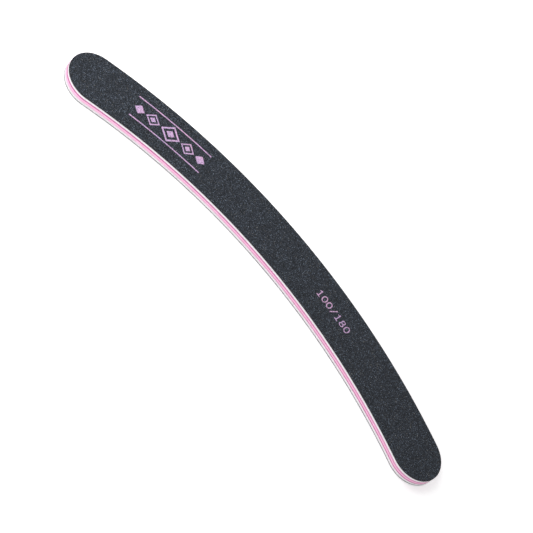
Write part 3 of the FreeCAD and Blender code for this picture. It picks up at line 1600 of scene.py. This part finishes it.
@dataclass(frozen=True)
class Viewpoint:
    """The camera, where the photograph was taken from.

    Attributes:
        aim: the point in the middle of the picture.
        distance: from the camera to that point.
        azimuth, elevation, roll: the camera's direction and its turn about it, in degrees.
        frame_pixels: size of the square picture.
        focal_pixels: the lens's focal length in pixels of that picture.
    """

    SENSOR_WIDTH = 36.0
    CLIP_SHARE = 0.1

    aim: Vector
    distance: float
    azimuth: float
    elevation: float
    roll: float
    frame_pixels: float
    focal_pixels: float

    def build(self) -> None:
        """Sets up the camera."""
        side, tilt, roll = (math.radians(angle) for angle in (self.azimuth, self.elevation, self.roll))
        back = Vector((math.sin(side) * math.cos(tilt), -math.cos(side) * math.cos(tilt), math.sin(tilt)))
        level = Vector((0.0, 0.0, 1.0)).cross(back).normalized()
        upright = back.cross(level)
        right = level * math.cos(roll) + upright * math.sin(roll)
        up = upright * math.cos(roll) - level * math.sin(roll)
        lens = bpy.data.cameras.new("camera")
        lens.sensor_width = self.SENSOR_WIDTH
        lens.lens = lens.sensor_width * self.focal_pixels / self.frame_pixels
        lens.clip_start = self.CLIP_SHARE * self.distance
        camera = bpy.data.objects.new("camera", lens)
        turn = Matrix((right, up, back)).transposed().to_4x4()
        camera.matrix_world = Matrix.Translation(self.aim + back * self.distance) @ turn
        bpy.context.scene.collection.objects.link(camera)
        bpy.context.scene.camera = camera


@dataclass(frozen=True)
class Palette:
    """The materials of the board and of its floor, each built once."""

    coarse_grain: bpy.types.Material
    fine_grain: bpy.types.Material
    resin: bpy.types.Material
    ink: bpy.types.Material
    sunk_ink: bpy.types.Material
    upper_paper: bpy.types.Material
    lower_paper: bpy.types.Material
    foam: bpy.types.Material
    core: bpy.types.Material
    clear: bpy.types.Material
    tinted: bpy.types.Material
    floor: bpy.types.Material

    @classmethod
    def mixed(cls, patterns: Patterns) -> "Palette":
        """Builds the materials.

        Args:
            patterns: the patterns that they share.

        Returns:
            The materials.
        """
        core_low, core_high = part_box("core_board")
        finishes = {
            # The lightest grain colours stand partly for painted glints.
            "coarse_grain": GritFinish(
                "coarse_grain", srgb(17, 21, 27), srgb(134, 147, 165), srgb(148, 147, 145), speck=0.09 * MM,
                clump=0.4 * MM, cloud=2.5 * MM, own_tone=0.9, rarity=2.4, relief=0.015 * MM,
            ),
            "fine_grain": GritFinish(
                "fine_grain", srgb(13, 15, 18), srgb(88, 98, 114), srgb(114, 104, 98), speck=0.07 * MM,
                clump=0.25 * MM, cloud=2.0 * MM, own_tone=0.85, rarity=2.2, relief=0.012 * MM,
            ),
            "resin": GritFinish(
                "resin", srgb(15, 17, 20), srgb(74, 80, 90), srgb(74, 80, 90), speck=0.12 * MM,
                clump=0.4 * MM, cloud=2.5 * MM, own_tone=0.0, rarity=3.0, relief=0.03 * MM,
            ),
            "ink": InkFinish(
                "lilac_ink", srgb(236, 192, 230), srgb(210, 184, 228), srgb(70, 60, 80),
                shift=5.0 * MM, speck=0.09 * MM, missed=0.08,
            ),
            "sunk_ink": InkFinish(
                "sunk_ink", srgb(220, 176, 214), srgb(194, 166, 210), srgb(46, 42, 52),
                shift=5.0 * MM, speck=0.11 * MM, missed=0.32,
            ),
            "upper_paper": PaperFinish(
                "dark_paper", srgb(34, 31, 31), srgb(78, 74, 74), fibre=0.6 * MM,
            ),
            "lower_paper": PaperFinish(
                "pale_paper", srgb(126, 128, 130), srgb(208, 210, 212), fibre=0.8 * MM,
            ),
            # The foam's second colour is painted shade in the pits of its cells.
            "foam": FoamFinish(
                "white_foam", srgb(251, 249, 251), srgb(226, 219, 226),
                cell=0.06 * MM, bubble=0.15 * MM, cloud=1.2 * MM,
            ),
            # The core's third colour is painted shade: the deep pink bands at its bond lines.
            "core": CoreFinish(
                "pink_core", srgb(253, 200, 229), srgb(248, 184, 217), srgb(198, 98, 156),
                mark=0.16 * MM, cloud=2.0 * MM, low=core_low, high=core_high,
                band_depth=0.2 * MM, band_reach=0.25 * MM, border=0.14 * MM,
                upper_band=(1.15, 0.6), lower_band=(-0.3, 1.3),
            ),
            # The clear films are darkened to grey as painted shade of their recessed glue lines.
            "clear": AdhesiveFinish("clear_film_painted_shade", srgb(176, 172, 168), srgb(140, 136, 132), bead=0.4 * MM),
            "tinted": AdhesiveFinish("tinted_film", srgb(250, 222, 236), srgb(236, 196, 218), bead=0.4 * MM),
            "floor": FloorFinish(
                "studio_floor", srgb(244, 244, 245), srgb(248, 248, 248), cloud=60.0 * MM,
                lift=0.34, far_lift=0.7, near=0.12, far=0.5,
            ),
        }
        return cls(**{name: finish.material(patterns) for name, finish in finishes.items()})


def main() -> None:
    """Builds the board's pieces in order, dresses them, and sets up the studio and the camera."""
    logging.basicConfig(level=logging.INFO, format="%(name)s: %(message)s")
    bpy.context.scene.view_settings.view_transform = "Standard"
    palette = Palette.mixed(Patterns(Speckle(), Mottle()))
    outline = Outline.within(*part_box("core_board"), width=20.0 * MM)
    layer = LayerRecipe()
    abrasive = AbrasiveRecipe(layer)

    upper = AbrasiveFace(
        Side.UPPER, "coarse_grit", outline, palette.resin, palette.coarse_grain, palette.ink,
        spacing=0.3 * MM, grain_radius=0.17 * MM, grain_height=0.14 * MM, relief=0.09 * MM,
        sink=0.03 * MM, tilt=0.5, seed=11,
    )
    lower = AbrasiveFace(
        Side.LOWER, "fine_grit", outline, palette.resin, palette.fine_grain, palette.ink,
        spacing=0.27 * MM, grain_radius=0.13 * MM, grain_height=0.11 * MM, relief=0.075 * MM,
        sink=0.03 * MM, tilt=0.5, seed=47,
    )
    band = PrintedBand(
        outline, palette.sunk_ink, along=-51.0 * MM, across=0.4 * MM, largest=7.8 * MM, ratio=0.72, ranks=2,
        gap=0.6 * MM, line=0.45 * MM, rule_reach=15.0 * MM, rule_offset=4.75 * MM, thickness=0.03 * MM,
    )
    numbers = PrintedNumbers(
        outline, palette.sunk_ink, "100/180", start=20.4 * MM, across=-1.18 * MM, pitch=2.45 * MM,
        height=3.05 * MM, width=2.1 * MM, stroke=0.37 * MM, thickness=0.03 * MM,
    )
    band_film = band.build(BandRecipe(), upper.bed_top())
    band.dress(band_film)
    number_film = numbers.build(upper.bed_top())
    numbers.dress(number_film)
    upper.dress(upper.build(abrasive, band_film, number_film))
    lower.dress(lower.build(abrasive, None, None))

    for side in Side:
        cushion = Sheet(
            side.node("foam_cushion"), "white_foam", palette.foam, outline, shoulder=0.14 * MM,
            ripple=0.03 * MM, ripple_size=0.45 * MM, ripple_draw=1.0,
        )
        cushion.dress(cushion.build(layer), padded=True)
    core = Sheet(
        "core_board", "pink_core", palette.core, outline, shoulder=0.1 * MM,
        ripple=0.012 * MM, ripple_size=0.3 * MM, ripple_draw=0.1,
    )
    core.dress(core.build(layer), padded=False)
    PackedLayers(palette.upper_paper, palette.lower_paper, palette.clear, palette.tinted).dress()

    lamps = (
        Lamp("key_lamp", Vector((-0.125, 0.0, 0.17)), size=0.24, power=0.37),
        Lamp("front_fill", Vector((0.05, -0.9, 0.35)), size=0.8, power=3.2),
        Lamp("back_fill", Vector((0.05, 0.9, 0.35)), size=0.8, power=2.2),
    )
    Studio(palette.floor, floor_radius=3.0, sky=0.36, lamps=lamps).build()
    Viewpoint(
        aim=Vector((2.199, -4.328, 3.75)) * MM, distance=580.13 * MM, azimuth=-0.669, elevation=43.906,
        roll=49.903, frame_pixels=533.0, focal_pixels=1800.0,
    ).build()


if __name__ == "__main__":
    main()
